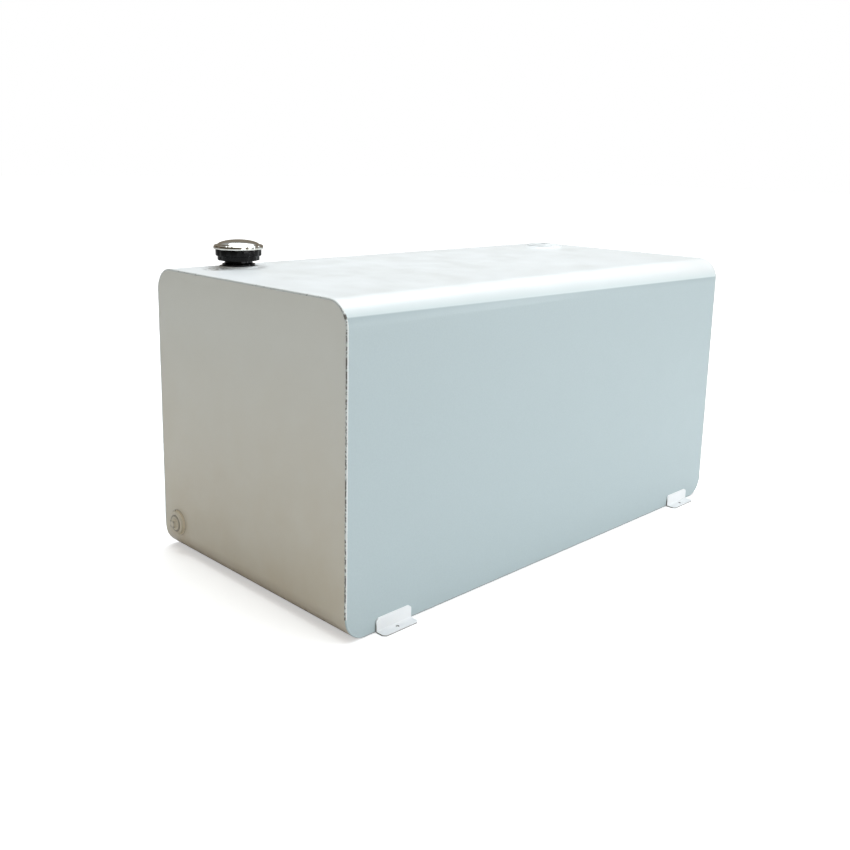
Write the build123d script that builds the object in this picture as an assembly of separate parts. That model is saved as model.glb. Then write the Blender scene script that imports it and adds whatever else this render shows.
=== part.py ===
from build123d import *
import os

os.makedirs("parts", exist_ok=True)

# A rectangular steel transfer tank made from two interlocking bent sheets.
# Millimetres. +X is the pump-port end, -Y is the front, +Z is up.
# The origin is the middle of the floor's underside.

# ---- shell ----
LENGTH = 1219.0
DEPTH = 610.0
HEIGHT = 616.0
SHEET = 2.0
BEND_RADIUS = 48.0
BEAD_ROUND = 1.3
EDGE_CHAMFER = 1.0
FLANGE_CHAMFER = 1.5

HALF_LENGTH = LENGTH / 2
HALF_DEPTH = DEPTH / 2
INNER_HALF_LENGTH = HALF_LENGTH - SHEET
INNER_HALF_DEPTH = HALF_DEPTH - SHEET
INNER_TOP = HEIGHT - SHEET
INNER_BEND = BEND_RADIUS - SHEET

# ---- surge baffles ----
BAFFLE_X = LENGTH / 6
BAFFLE_GAUGE = 2.0
BAFFLE_FLANGE = 25.0
BAFFLE_CORNER = 70.0
BAFFLE_HOLE_RADIUS = 50.0
BAFFLE_HOLE_Y = 150.0
BAFFLE_HOLE_HEIGHTS = (180.0, 420.0)

# ---- hold-down feet ----
FOOT_X = 494.0
FOOT_WIDTH = 88.0
FOOT_LEG = 26.0
FOOT_REACH = 25.0
FOOT_GAUGE = 3.0
FOOT_BEND = 5.0
FOOT_HOLE_RADIUS = 3.5
FOOT_HOLE_OUT = 12.0
FOOT_CORNER = 6.0
FOOT_WELD_LENGTH = 80.0
FOOT_WELD_LEG = 2.5

# ---- filler neck, heights above the tank top ----
FILLER_X = -468.0
FILLER_Y = 216.0
FILLER_FLANGE_RADIUS = 40.0
FILLER_FLANGE_TOP = 3.0
FILLER_SPIGOT_RADIUS = 34.0
FILLER_SPIGOT_DEPTH = 12.0
FILLER_WELD_LEG = 3.0
NECK_GASKET_THICK = 1.0
NECK_GASKET_RADIUS = 34.0
NECK_FLANGE_RADIUS = 34.5
NECK_FLANGE_THICK = 3.5
NECK_FLARE = 2.0
NECK_RADIUS = 29.0
NECK_BORE = 23.0
NECK_TOP = 37.5
SPUD_RADIUS = 29.5
SPUD_DEPTH = 16.0
THREAD_GAP = 0.3

# ---- filler cap, heights above the tank top ----
CAP_BOTTOM = 14.5
CAP_STEP = 24.3
CAP_LOWER_RADIUS = 44.0
CAP_UPPER_RADIUS = 48.0
CAP_GRIP_COUNT = 24
CAP_GRIP_RADIUS = 1.6
GASKET_THICK = 2.5
PLATE_RADIUS = 30.6
PLATE_THICK = 2.5
PLATE_FLOAT = 0.3
PLATE_SIDE_GAP = 0.4
CLIP_THICK = 1.2
CLIP_GAP = 9.0
CLIP_GRIP = 1.4
CAP_WEB = 3.0
GASKET_SIDE_GAP = 1.0
COVER_RADIUS = 52.5
COVER_BOTTOM = 38.0
COVER_RIM_TOP = 46.0
COVER_TOP = 57.3
COVER_WALL = 2.0
DOME_FOOT_RADIUS = 44.5
DOME_FOOT_RISE = 2.0
DOME_MIDDLE_RADIUS = 26.5
DOME_MIDDLE_DROP = 3.0
DOME_FLAT_RADIUS = 10.5
COVER_LOBES = 10
COVER_LOBE_RADIUS = 14.0
COVER_LOBE_DEPTH = 1.6

# ---- vacuum vent inside the cap ----
VENT_HOLE = 5.0
VENT_SEAT_RADIUS = 9.0
VENT_SEAT_THICK = 1.2
VENT_DISC_THICK = 2.0
VENT_STEM_RADIUS = 2.5
CAGE_RADIUS = 14.0
CAGE_WALL = 1.5
CAGE_DEPTH = 16.0
CAGE_WINDOWS = 6
CAGE_WINDOW_WIDTH = 6.0
VENT_STEM_BELOW = 2.0
SPRING_RADIUS = 6.0
SPRING_WIRE = 0.6
SPRING_TURNS = 4.5

# ---- pump port, heights above the tank top ----
PORT_X = 512.0
PORT_Y = 172.0
PORT_FLANGE_RADIUS = 46.5
PORT_FLANGE_TOP = 6.0
PORT_SPIGOT_RADIUS = 38.0
PORT_SPIGOT_DEPTH = 12.0
PORT_BORE = 30.0
PORT_RECESS_RADIUS = 35.0
PORT_RECESS_DEPTH = 3.5
PORT_SEAL_THICK = 1.5
SEAL_SIDE_GAP = 0.5
SEAL_BORE_GAP = 0.2
PORT_PLUG_HEAD = 3.5
PORT_PLUG_THREAD = 12.0
PORT_SOCKET = 24.0
PORT_SOCKET_DEPTH = 11.0
PORT_WELD_LEG = 3.5

# ---- drain, distances out from the left end ----
DRAIN_Y = 251.0
DRAIN_Z = 69.0
DRAIN_FLANGE_RADIUS = 25.0
DRAIN_FLANGE_OUT = 8.0
DRAIN_SPIGOT_RADIUS = 20.0
DRAIN_SPIGOT_DEPTH = 10.0
DRAIN_BORE = 13.3
DRAIN_RECESS_RADIUS = 18.0
DRAIN_RECESS_DEPTH = 3.0
DRAIN_SEAL_THICK = 1.5
DRAIN_COLLAR = 2.5
DRAIN_HEAD = 15.0
DRAIN_HEAD_HEIGHT = 8.0
DRAIN_HEAD_CHAMFER = 0.8
DRAIN_PLUG_THREAD = 13.5
DRAIN_WELD_LEG = 3.0


def save(name, shape):
    export_step(shape, f"parts/{name}.step")


def panel_outline(half_width, low, high, radius, rounded_end):
    """Upright rectangle whose two corners at one end are rounded."""
    face = Pos(0, (low + high) / 2) * Rectangle(2 * half_width, high - low)
    rows = face.vertices().group_by(Axis.Y)
    corners = rows[0] if rounded_end == "bottom" else rows[-1]
    return fillet(corners, radius)


def turned(points):
    """Solid turned about the Z axis from (radius, height) points."""
    return revolve(Plane.XZ * make_face(Polyline(*points, close=True)), Axis.Z)


def ring(outer, inner, low, high):
    return turned([(inner, low), (outer, low), (outer, high), (inner, high)])


def hole(x, y, radius):
    return Pos(x, y, HEIGHT) * Cylinder(radius, 8 * SHEET)


def on_top(x, y, shape):
    """Places a shape drawn with z = 0 on the tank top."""
    return Pos(x, y, HEIGHT) * shape


def on_left_end(shape):
    """Places a shape drawn with z = 0 on the left end, its +Z pointing out."""
    seat = Plane(origin=(-HALF_LENGTH, DRAIN_Y, DRAIN_Z), x_dir=(0, 1, 0), z_dir=(-1, 0, 0))
    return seat * shape


# ---- shell ----


def shell_sheets():
    """The upper wrap is front, top and rear. The lower wrap is both ends and the floor."""
    upper_outer = panel_outline(HALF_DEPTH, 0, HEIGHT, BEND_RADIUS, "top")
    upper_inner = panel_outline(INNER_HALF_DEPTH, -SHEET, INNER_TOP, INNER_BEND, "top")
    lower_outer = panel_outline(HALF_LENGTH, 0, HEIGHT, BEND_RADIUS, "bottom")
    lower_inner = panel_outline(INNER_HALF_LENGTH, SHEET, HEIGHT + SHEET, INNER_BEND, "bottom")

    upper = extrude(Plane.YZ * (upper_outer - upper_inner), INNER_HALF_LENGTH, both=True)
    upper = upper & extrude(Plane.XZ * lower_inner, DEPTH, both=True)
    lower = extrude(Plane.XZ * (lower_outer - lower_inner), INNER_HALF_DEPTH, both=True)
    lower = lower & extrude(Plane.YZ * upper_inner, LENGTH, both=True)

    upper = upper - hole(FILLER_X, FILLER_Y, FILLER_SPIGOT_RADIUS) - hole(PORT_X, PORT_Y, PORT_SPIGOT_RADIUS)
    lower = lower - on_left_end(Cylinder(DRAIN_SPIGOT_RADIUS, 8 * SHEET))
    return upper, lower


def corner_bead(outer, inner):
    """Weld that fills the notch along an outline, its outer corner rounded."""
    slab = extrude(outer, SHEET)
    slab = fillet(slab.faces().sort_by(Axis.Z)[-1].edges(), BEAD_ROUND)
    return slab - extrude(inner, 2 * SHEET)


def end_bead(side):
    """Corner weld up one end, over the top and down the other side."""
    outer = panel_outline(HALF_DEPTH, 0, HEIGHT, BEND_RADIUS, "top")
    inner = panel_outline(INNER_HALF_DEPTH, -SHEET, INNER_TOP, INNER_BEND, "top")
    bead = Plane.YZ.offset(INNER_HALF_LENGTH) * corner_bead(outer, inner)
    bead = bead - Pos(0, 0, BEND_RADIUS / 2) * Box(2 * LENGTH, 2 * DEPTH, BEND_RADIUS)
    return bead if side > 0 else mirror(bead, Plane.YZ)


def bottom_bead(side):
    """Corner weld under the front or rear panel, round both lower bends."""
    outer = panel_outline(HALF_LENGTH, 0, HEIGHT, BEND_RADIUS, "bottom")
    inner = panel_outline(INNER_HALF_LENGTH, SHEET, HEIGHT + SHEET, INNER_BEND, "bottom")
    bead = Plane.XZ.offset(INNER_HALF_DEPTH) * corner_bead(outer, inner)
    bead = bead - Pos(0, 0, BEND_RADIUS + HEIGHT) * Box(2 * LENGTH, 2 * DEPTH, 2 * HEIGHT)
    return bead if side < 0 else mirror(bead, Plane.XZ)


def baffle(x):
    """Surge baffle: a plate with clipped corners, flow holes and welding flanges."""
    half = INNER_HALF_DEPTH
    low, high = SHEET, INNER_TOP
    clip = BAFFLE_CORNER
    outline = Polyline(
        (-half + clip, low),
        (half - clip, low),
        (half, low + clip),
        (half, high - clip),
        (half - clip, high),
        (-half + clip, high),
        (-half, high - clip),
        (-half, low + clip),
        close=True,
    )
    web = make_face(outline)
    for y in (-BAFFLE_HOLE_Y, BAFFLE_HOLE_Y):
        for z in BAFFLE_HOLE_HEIGHTS:
            web = web - Pos(y, z) * Circle(BAFFLE_HOLE_RADIUS)
    plate = extrude(Plane.YZ * web, BAFFLE_GAUGE)
    side_height = high - low - 2 * clip
    for side in (-1, 1):
        flange = Box(BAFFLE_FLANGE, BAFFLE_GAUGE, side_height)
        plate += Pos(BAFFLE_FLANGE / 2, side * (half - BAFFLE_GAUGE / 2), (low + high) / 2) * flange
    floor_flange = Box(BAFFLE_FLANGE, 2 * (half - clip), BAFFLE_GAUGE)
    plate += Pos(BAFFLE_FLANGE / 2, 0, low + BAFFLE_GAUGE / 2) * floor_flange
    return Pos(x, 0, 0) * plate


# ---- hold-down feet ----


def foot(side_x, side_y):
    """Bent tab: one leg welded to the panel, one flat on the floor with clipped corners and a bolt hole."""
    profile = Polyline(
        (0, 0),
        (FOOT_REACH, 0),
        (FOOT_REACH, FOOT_GAUGE),
        (FOOT_GAUGE, FOOT_GAUGE),
        (FOOT_GAUGE, FOOT_LEG),
        (0, FOOT_LEG),
        close=True,
    )
    tab = extrude(Plane.YZ * make_face(profile), FOOT_WIDTH / 2, both=True)
    heel = tab.edges().filter_by(Axis.X).group_by(Axis.Y)[0].sort_by(Axis.Z)[0]
    tab = fillet(heel, FOOT_BEND)
    throat = tab.edges().filter_by(Axis.X).filter_by(is_throat)
    tab = fillet(throat, FOOT_BEND - FOOT_GAUGE)
    tip_corners = tab.edges().filter_by(Axis.Z).group_by(Axis.Y)[-1]
    tab = chamfer(tip_corners, FOOT_CORNER)
    top_corners = tab.edges().filter_by(Axis.Y).group_by(Axis.Z)[-1]
    tab = fillet(top_corners, FOOT_GAUGE)
    tab = tab - Pos(0, FOOT_HOLE_OUT, 0) * Cylinder(FOOT_HOLE_RADIUS, 4 * FOOT_GAUGE)
    if side_y < 0:
        tab = mirror(tab, Plane.XZ)
    return Pos(side_x * FOOT_X, side_y * HALF_DEPTH, 0) * tab


def is_throat(edge):
    middle = edge @ 0.5
    return abs(middle.Y - FOOT_GAUGE) < 0.01 and abs(middle.Z - FOOT_GAUGE) < 0.01


def foot_welds():
    """One weld along the top edge of each foot's upright leg."""
    leg = FOOT_WELD_LEG
    fillet_shape = make_face(Polyline((0, 0), (leg, 0), (0, leg), close=True))
    weld = extrude(Plane.YZ * fillet_shape, FOOT_WELD_LENGTH / 2, both=True)
    weld = Pos(0, 0, FOOT_LEG) * weld
    welds = []
    for side_y in (-1, 1):
        facing = weld if side_y > 0 else mirror(weld, Plane.XZ)
        for side_x in (-1, 1):
            welds.append(Pos(side_x * FOOT_X, side_y * HALF_DEPTH, 0) * facing)
    return Compound(children=welds)


# ---- filler ----


NECK_SEAT = FILLER_FLANGE_TOP + NECK_GASKET_THICK
NECK_FLANGE_TOP = NECK_SEAT + NECK_FLANGE_THICK
SPUD_BORE = SPUD_RADIUS + THREAD_GAP


def filler_bung():
    """Threaded weld flange that stands on the top sheet, its spigot through the sheet's hole."""
    return turned(
        [
            (SPUD_BORE, -FILLER_SPIGOT_DEPTH),
            (FILLER_SPIGOT_RADIUS, -FILLER_SPIGOT_DEPTH),
            (FILLER_SPIGOT_RADIUS, 0),
            (FILLER_FLANGE_RADIUS, 0),
            (FILLER_FLANGE_RADIUS, FILLER_FLANGE_TOP - EDGE_CHAMFER),
            (FILLER_FLANGE_RADIUS - EDGE_CHAMFER, FILLER_FLANGE_TOP),
            (SPUD_BORE, FILLER_FLANGE_TOP),
        ]
    )


def filler_neck():
    """Pipe neck with a base flange and a threaded spud below it."""
    return turned(
        [
            (NECK_BORE, -SPUD_DEPTH),
            (SPUD_RADIUS, -SPUD_DEPTH),
            (SPUD_RADIUS, NECK_SEAT),
            (NECK_FLANGE_RADIUS, NECK_SEAT),
            (NECK_FLANGE_RADIUS, NECK_FLANGE_TOP - EDGE_CHAMFER),
            (NECK_RADIUS + NECK_FLARE, NECK_FLANGE_TOP),
            (NECK_RADIUS, NECK_FLANGE_TOP + NECK_FLARE),
            (NECK_RADIUS, NECK_TOP - EDGE_CHAMFER),
            (NECK_RADIUS - EDGE_CHAMFER, NECK_TOP),
            (NECK_BORE, NECK_TOP),
        ]
    )


PLATE_LOW = NECK_TOP + GASKET_THICK
PLATE_HIGH = PLATE_LOW + PLATE_THICK
WEB_LOW = PLATE_HIGH + PLATE_FLOAT
WEB_HIGH = WEB_LOW + CAP_WEB
CLIP_HIGH = PLATE_LOW - PLATE_FLOAT
CLIP_LOW = CLIP_HIGH - CLIP_THICK
CLIP_GROOVE = PLATE_RADIUS + CLIP_GRIP
CAP_BORE = NECK_RADIUS + THREAD_GAP
CAVITY_RADIUS = PLATE_RADIUS + PLATE_SIDE_GAP


def cap_body():
    """Threaded cap body with a stepped skirt and a ribbed grip band."""
    body = turned(
        [
            (CAP_BORE, CAP_BOTTOM),
            (CAP_LOWER_RADIUS - EDGE_CHAMFER, CAP_BOTTOM),
            (CAP_LOWER_RADIUS, CAP_BOTTOM + EDGE_CHAMFER),
            (CAP_LOWER_RADIUS, CAP_STEP - EDGE_CHAMFER),
            (CAP_UPPER_RADIUS, CAP_STEP),
            (CAP_UPPER_RADIUS, WEB_HIGH),
            (0, WEB_HIGH),
            (0, WEB_LOW),
            (CAVITY_RADIUS, WEB_LOW),
            (CAVITY_RADIUS, CLIP_HIGH),
            (CLIP_GROOVE, CLIP_HIGH),
            (CLIP_GROOVE, CLIP_LOW),
            (CAP_BORE, CLIP_LOW),
        ]
    )
    groove_length = COVER_BOTTOM - CAP_BOTTOM
    for spot in PolarLocations(CAP_UPPER_RADIUS + CAP_GRIP_RADIUS / 4, CAP_GRIP_COUNT):
        groove = Pos(0, 0, CAP_BOTTOM + groove_length / 2) * Cylinder(CAP_GRIP_RADIUS, groove_length)
        body = body - spot * groove
    return body


def cap_cover():
    """Domed metal cover with a lobed rim, pressed over the top of the cap body."""
    dome_middle_top = COVER_TOP - DOME_MIDDLE_DROP
    outside = turned(
        [
            (0, COVER_BOTTOM),
            (COVER_RADIUS - EDGE_CHAMFER, COVER_BOTTOM),
            (COVER_RADIUS, COVER_BOTTOM + EDGE_CHAMFER),
            (COVER_RADIUS, COVER_RIM_TOP - COVER_WALL),
            (COVER_RADIUS - COVER_WALL, COVER_RIM_TOP),
            (DOME_FOOT_RADIUS, COVER_RIM_TOP + DOME_FOOT_RISE),
            (DOME_MIDDLE_RADIUS, dome_middle_top),
            (DOME_FLAT_RADIUS, COVER_TOP),
            (0, COVER_TOP),
        ]
    )
    inside = turned(
        [
            (0, COVER_BOTTOM),
            (CAP_UPPER_RADIUS, COVER_BOTTOM),
            (CAP_UPPER_RADIUS, WEB_HIGH),
            (DOME_FOOT_RADIUS - 3 * COVER_WALL, WEB_HIGH),
            (DOME_MIDDLE_RADIUS - COVER_WALL, dome_middle_top - COVER_WALL),
            (DOME_FLAT_RADIUS, COVER_TOP - COVER_WALL),
            (0, COVER_TOP - COVER_WALL),
        ]
    )
    cover = outside - inside
    scallop_distance = COVER_RADIUS + COVER_LOBE_RADIUS - COVER_LOBE_DEPTH
    middle = (COVER_BOTTOM + COVER_TOP) / 2
    for spot in PolarLocations(scallop_distance, COVER_LOBES):
        cover = cover - spot * Pos(0, 0, middle) * Cylinder(COVER_LOBE_RADIUS, COVER_TOP)
    return cover


def plate_clip():
    """Open snap ring that holds the floating seal plate up in the cap."""
    clip = ring(CLIP_GROOVE, CAP_BORE + THREAD_GAP, CLIP_LOW, CLIP_HIGH)
    return clip - Pos(CLIP_GROOVE, 0, CLIP_LOW) * Box(CLIP_GROOVE, CLIP_GAP, 4 * CLIP_THICK)


def seal_plate():
    return ring(PLATE_RADIUS, VENT_HOLE, PLATE_LOW, PLATE_HIGH)


CAGE_LOW = PLATE_LOW - CAGE_DEPTH
DISC_TOP = PLATE_LOW - VENT_SEAT_THICK
DISC_LOW = DISC_TOP - VENT_DISC_THICK


def vent_cage():
    """Cup under the seal plate, with side windows and a guide hole for the valve stem."""
    cup = turned(
        [
            (VENT_STEM_RADIUS + THREAD_GAP, CAGE_LOW),
            (CAGE_RADIUS, CAGE_LOW),
            (CAGE_RADIUS, PLATE_LOW),
            (CAGE_RADIUS - CAGE_WALL, PLATE_LOW),
            (CAGE_RADIUS - CAGE_WALL, CAGE_LOW + CAGE_WALL),
            (VENT_STEM_RADIUS + THREAD_GAP, CAGE_LOW + CAGE_WALL),
        ]
    )
    for spot in PolarLocations(CAGE_RADIUS, CAGE_WINDOWS):
        window = Pos(0, 0, PLATE_LOW - CAGE_DEPTH / 2) * Box(4 * CAGE_WALL, CAGE_WINDOW_WIDTH, CAGE_DEPTH / 2)
        cup = cup - spot * window
    return cup


def vent_disc():
    """Valve disc with a guide stem that slides in the cage's floor."""
    stem_low = CAGE_LOW - VENT_STEM_BELOW
    return turned(
        [
            (0, stem_low),
            (VENT_STEM_RADIUS, stem_low),
            (VENT_STEM_RADIUS, DISC_LOW),
            (VENT_SEAT_RADIUS, DISC_LOW),
            (VENT_SEAT_RADIUS, DISC_TOP),
            (0, DISC_TOP),
        ]
    )


def vent_spring():
    """Coil spring between the cage's floor and the valve disc."""
    low = CAGE_LOW + CAGE_WALL + SPRING_WIRE
    height = DISC_LOW - SPRING_WIRE - low
    path = Helix(pitch=height / SPRING_TURNS, height=height, radius=SPRING_RADIUS)
    section = Plane(origin=path @ 0, z_dir=path % 0) * Circle(SPRING_WIRE)
    return Pos(0, 0, low) * sweep(section, path=path)


# ---- pump port ----

RECESS_FLOOR = PORT_FLANGE_TOP - PORT_RECESS_DEPTH
PORT_HEAD_LOW = RECESS_FLOOR + PORT_SEAL_THICK


def pump_port_flange():
    """Weld flange with a threaded bore and a recess for the plug's head."""
    return turned(
        [
            (PORT_BORE, -PORT_SPIGOT_DEPTH),
            (PORT_SPIGOT_RADIUS, -PORT_SPIGOT_DEPTH),
            (PORT_SPIGOT_RADIUS, 0),
            (PORT_FLANGE_RADIUS, 0),
            (PORT_FLANGE_RADIUS, PORT_FLANGE_TOP - FLANGE_CHAMFER),
            (PORT_FLANGE_RADIUS - FLANGE_CHAMFER, PORT_FLANGE_TOP),
            (PORT_RECESS_RADIUS, PORT_FLANGE_TOP),
            (PORT_RECESS_RADIUS, RECESS_FLOOR),
            (PORT_BORE, RECESS_FLOOR),
        ]
    )


def fillet_weld(radius, leg):
    """Ring of weld in the corner between a flange's rim and the sheet."""
    return turned([(radius, 0), (radius + leg, 0), (radius, leg)])


def pump_port_seal():
    return ring(PORT_RECESS_RADIUS - SEAL_SIDE_GAP, PORT_BORE + SEAL_BORE_GAP, RECESS_FLOOR, PORT_HEAD_LOW)


def pump_port_plug():
    """Threaded plug with a flat round head and a square driving socket."""
    head_radius = PORT_RECESS_RADIUS - SEAL_SIDE_GAP
    head_top = PORT_HEAD_LOW + PORT_PLUG_HEAD
    thread_low = RECESS_FLOOR - PORT_PLUG_THREAD
    thread_radius = PORT_BORE - THREAD_GAP
    plug = turned(
        [
            (0, thread_low),
            (thread_radius - EDGE_CHAMFER, thread_low),
            (thread_radius, thread_low + EDGE_CHAMFER),
            (thread_radius, PORT_HEAD_LOW),
            (head_radius, PORT_HEAD_LOW),
            (head_radius, head_top - EDGE_CHAMFER),
            (head_radius - EDGE_CHAMFER, head_top),
            (0, head_top),
        ]
    )
    socket = Box(PORT_SOCKET, PORT_SOCKET, PORT_SOCKET_DEPTH)
    return plug - Pos(0, 0, head_top - PORT_SOCKET_DEPTH / 2) * socket


# ---- drain ----

DRAIN_RECESS_FLOOR = DRAIN_FLANGE_OUT - DRAIN_RECESS_DEPTH
DRAIN_COLLAR_LOW = DRAIN_RECESS_FLOOR + DRAIN_SEAL_THICK


def drain_flange():
    """Small weld flange with a threaded bore, in the left end near the floor."""
    return turned(
        [
            (DRAIN_BORE, -DRAIN_SPIGOT_DEPTH),
            (DRAIN_SPIGOT_RADIUS, -DRAIN_SPIGOT_DEPTH),
            (DRAIN_SPIGOT_RADIUS, 0),
            (DRAIN_FLANGE_RADIUS, 0),
            (DRAIN_FLANGE_RADIUS, DRAIN_FLANGE_OUT - FLANGE_CHAMFER),
            (DRAIN_FLANGE_RADIUS - FLANGE_CHAMFER, DRAIN_FLANGE_OUT),
            (DRAIN_RECESS_RADIUS, DRAIN_FLANGE_OUT),
            (DRAIN_RECESS_RADIUS, DRAIN_RECESS_FLOOR),
            (DRAIN_BORE, DRAIN_RECESS_FLOOR),
        ]
    )


def drain_seal():
    outer = DRAIN_RECESS_RADIUS - SEAL_SIDE_GAP
    return ring(outer, DRAIN_BORE + SEAL_BORE_GAP, DRAIN_RECESS_FLOOR, DRAIN_COLLAR_LOW)


def drain_plug():
    """Threaded plug with a round collar and a square head."""
    collar_radius = DRAIN_RECESS_RADIUS - SEAL_SIDE_GAP
    collar_top = DRAIN_COLLAR_LOW + DRAIN_COLLAR
    thread_low = DRAIN_RECESS_FLOOR - DRAIN_PLUG_THREAD
    thread_radius = DRAIN_BORE - THREAD_GAP
    plug = turned(
        [
            (0, thread_low),
            (thread_radius - EDGE_CHAMFER, thread_low),
            (thread_radius, thread_low + EDGE_CHAMFER),
            (thread_radius, DRAIN_COLLAR_LOW),
            (collar_radius, DRAIN_COLLAR_LOW),
            (collar_radius, collar_top),
            (0, collar_top),
        ]
    )
    head = chamfer(Box(DRAIN_HEAD, DRAIN_HEAD, DRAIN_HEAD_HEIGHT).edges(), DRAIN_HEAD_CHAMFER)
    return plug + Pos(0, 0, collar_top + DRAIN_HEAD_HEIGHT / 2 - DRAIN_HEAD_CHAMFER) * head


# ---- write every piece ----

upper_wrap, lower_wrap = shell_sheets()
save("upper_wrap", upper_wrap)
save("lower_wrap", lower_wrap)
save("left_end_weld", end_bead(-1))
save("right_end_weld", end_bead(1))
save("front_bottom_weld", bottom_bead(-1))
save("rear_bottom_weld", bottom_bead(1))
save("left_baffle", baffle(-BAFFLE_X))
save("right_baffle", baffle(BAFFLE_X))

for depth_name, side_y in (("front", -1), ("rear", 1)):
    for end_name, side_x in (("left", -1), ("right", 1)):
        save(f"{depth_name}_{end_name}_foot", foot(side_x, side_y))
save("foot_welds", foot_welds())

FILLER_PIECES = {
    "filler_bung": filler_bung(),
    "filler_weld": fillet_weld(FILLER_FLANGE_RADIUS, FILLER_WELD_LEG),
    "neck_gasket": ring(NECK_GASKET_RADIUS, SPUD_BORE, FILLER_FLANGE_TOP, NECK_SEAT),
    "filler_neck": filler_neck(),
    "cap_gasket": ring(NECK_RADIUS - GASKET_SIDE_GAP, NECK_BORE, NECK_TOP, PLATE_LOW),
    "seal_plate": seal_plate(),
    "vent_seat": ring(VENT_SEAT_RADIUS, VENT_HOLE, DISC_TOP, PLATE_LOW),
    "vent_cage": vent_cage(),
    "vent_disc": vent_disc(),
    "vent_spring": vent_spring(),
    "cap_body": cap_body(),
    "cap_cover": cap_cover(),
    "plate_clip": plate_clip(),
}
for name, piece in FILLER_PIECES.items():
    save(name, on_top(FILLER_X, FILLER_Y, piece))

PORT_PIECES = {
    "pump_port_flange": pump_port_flange(),
    "pump_port_weld": fillet_weld(PORT_FLANGE_RADIUS, PORT_WELD_LEG),
    "pump_port_seal": pump_port_seal(),
    "pump_port_plug": pump_port_plug(),
}
for name, piece in PORT_PIECES.items():
    save(name, on_top(PORT_X, PORT_Y, piece))

DRAIN_PIECES = {
    "drain_flange": drain_flange(),
    "drain_weld": fillet_weld(DRAIN_FLANGE_RADIUS, DRAIN_WELD_LEG),
    "drain_seal": drain_seal(),
    "drain_plug": drain_plug(),
}
for name, piece in DRAIN_PIECES.items():
    save(name, on_left_end(piece))
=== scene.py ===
import math
import random

import bmesh
import bpy
from mathutils import Matrix, Vector


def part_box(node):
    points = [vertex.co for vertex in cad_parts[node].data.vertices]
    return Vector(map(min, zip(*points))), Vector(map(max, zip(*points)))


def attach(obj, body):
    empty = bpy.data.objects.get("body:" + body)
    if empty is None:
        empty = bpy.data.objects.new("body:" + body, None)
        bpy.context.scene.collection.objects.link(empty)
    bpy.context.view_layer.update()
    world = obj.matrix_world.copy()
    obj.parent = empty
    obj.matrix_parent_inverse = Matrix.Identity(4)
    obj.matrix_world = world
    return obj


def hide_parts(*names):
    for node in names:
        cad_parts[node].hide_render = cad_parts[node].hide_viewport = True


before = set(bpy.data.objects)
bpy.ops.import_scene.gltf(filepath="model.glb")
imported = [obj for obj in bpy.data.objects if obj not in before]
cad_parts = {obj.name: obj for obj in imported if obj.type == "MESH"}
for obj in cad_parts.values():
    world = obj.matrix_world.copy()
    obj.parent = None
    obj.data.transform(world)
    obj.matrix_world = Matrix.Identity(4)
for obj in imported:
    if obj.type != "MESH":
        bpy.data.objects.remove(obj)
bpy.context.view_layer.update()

MM = 0.001
# Lengths below this count as nothing.
TINY = 1e-7

# ---- sizes taken from the frame, in metres ----

SHELL_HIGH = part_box("upper_wrap")[1]
HALF_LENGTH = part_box("lower_wrap")[1].x
HALF_DEPTH = SHELL_HIGH.y
TOP = SHELL_HIGH.z
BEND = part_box("front_bottom_weld")[1].z


def middle_of(node):
    low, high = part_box(node)
    return (low + high) / 2


def half_width(node):
    low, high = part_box(node)
    return (high.y - low.y) / 2


def above_top(node):
    """A node's lowest and highest height above the tank top."""
    low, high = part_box(node)
    return low.z - TOP, high.z - TOP


def beyond_end(node):
    """A node's back and front, measured outwards from the left end."""
    low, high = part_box(node)
    return -HALF_LENGTH - high.x, -HALF_LENGTH - low.x


FILLER = middle_of("filler_neck").to_2d().to_3d() + Vector((0, 0, TOP))
PORT = middle_of("pump_port_flange").to_2d().to_3d() + Vector((0, 0, TOP))
DRAIN = Vector((-HALF_LENGTH, middle_of("drain_flange").y, middle_of("drain_flange").z))

FILLER_PLACE = Matrix.Translation(FILLER)
PORT_PLACE = Matrix.Translation(PORT)
DRAIN_PLACE = Matrix.Translation(DRAIN) @ Matrix.Rotation(-math.pi / 2, 4, "Y")

# ---- node materials ----


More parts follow.
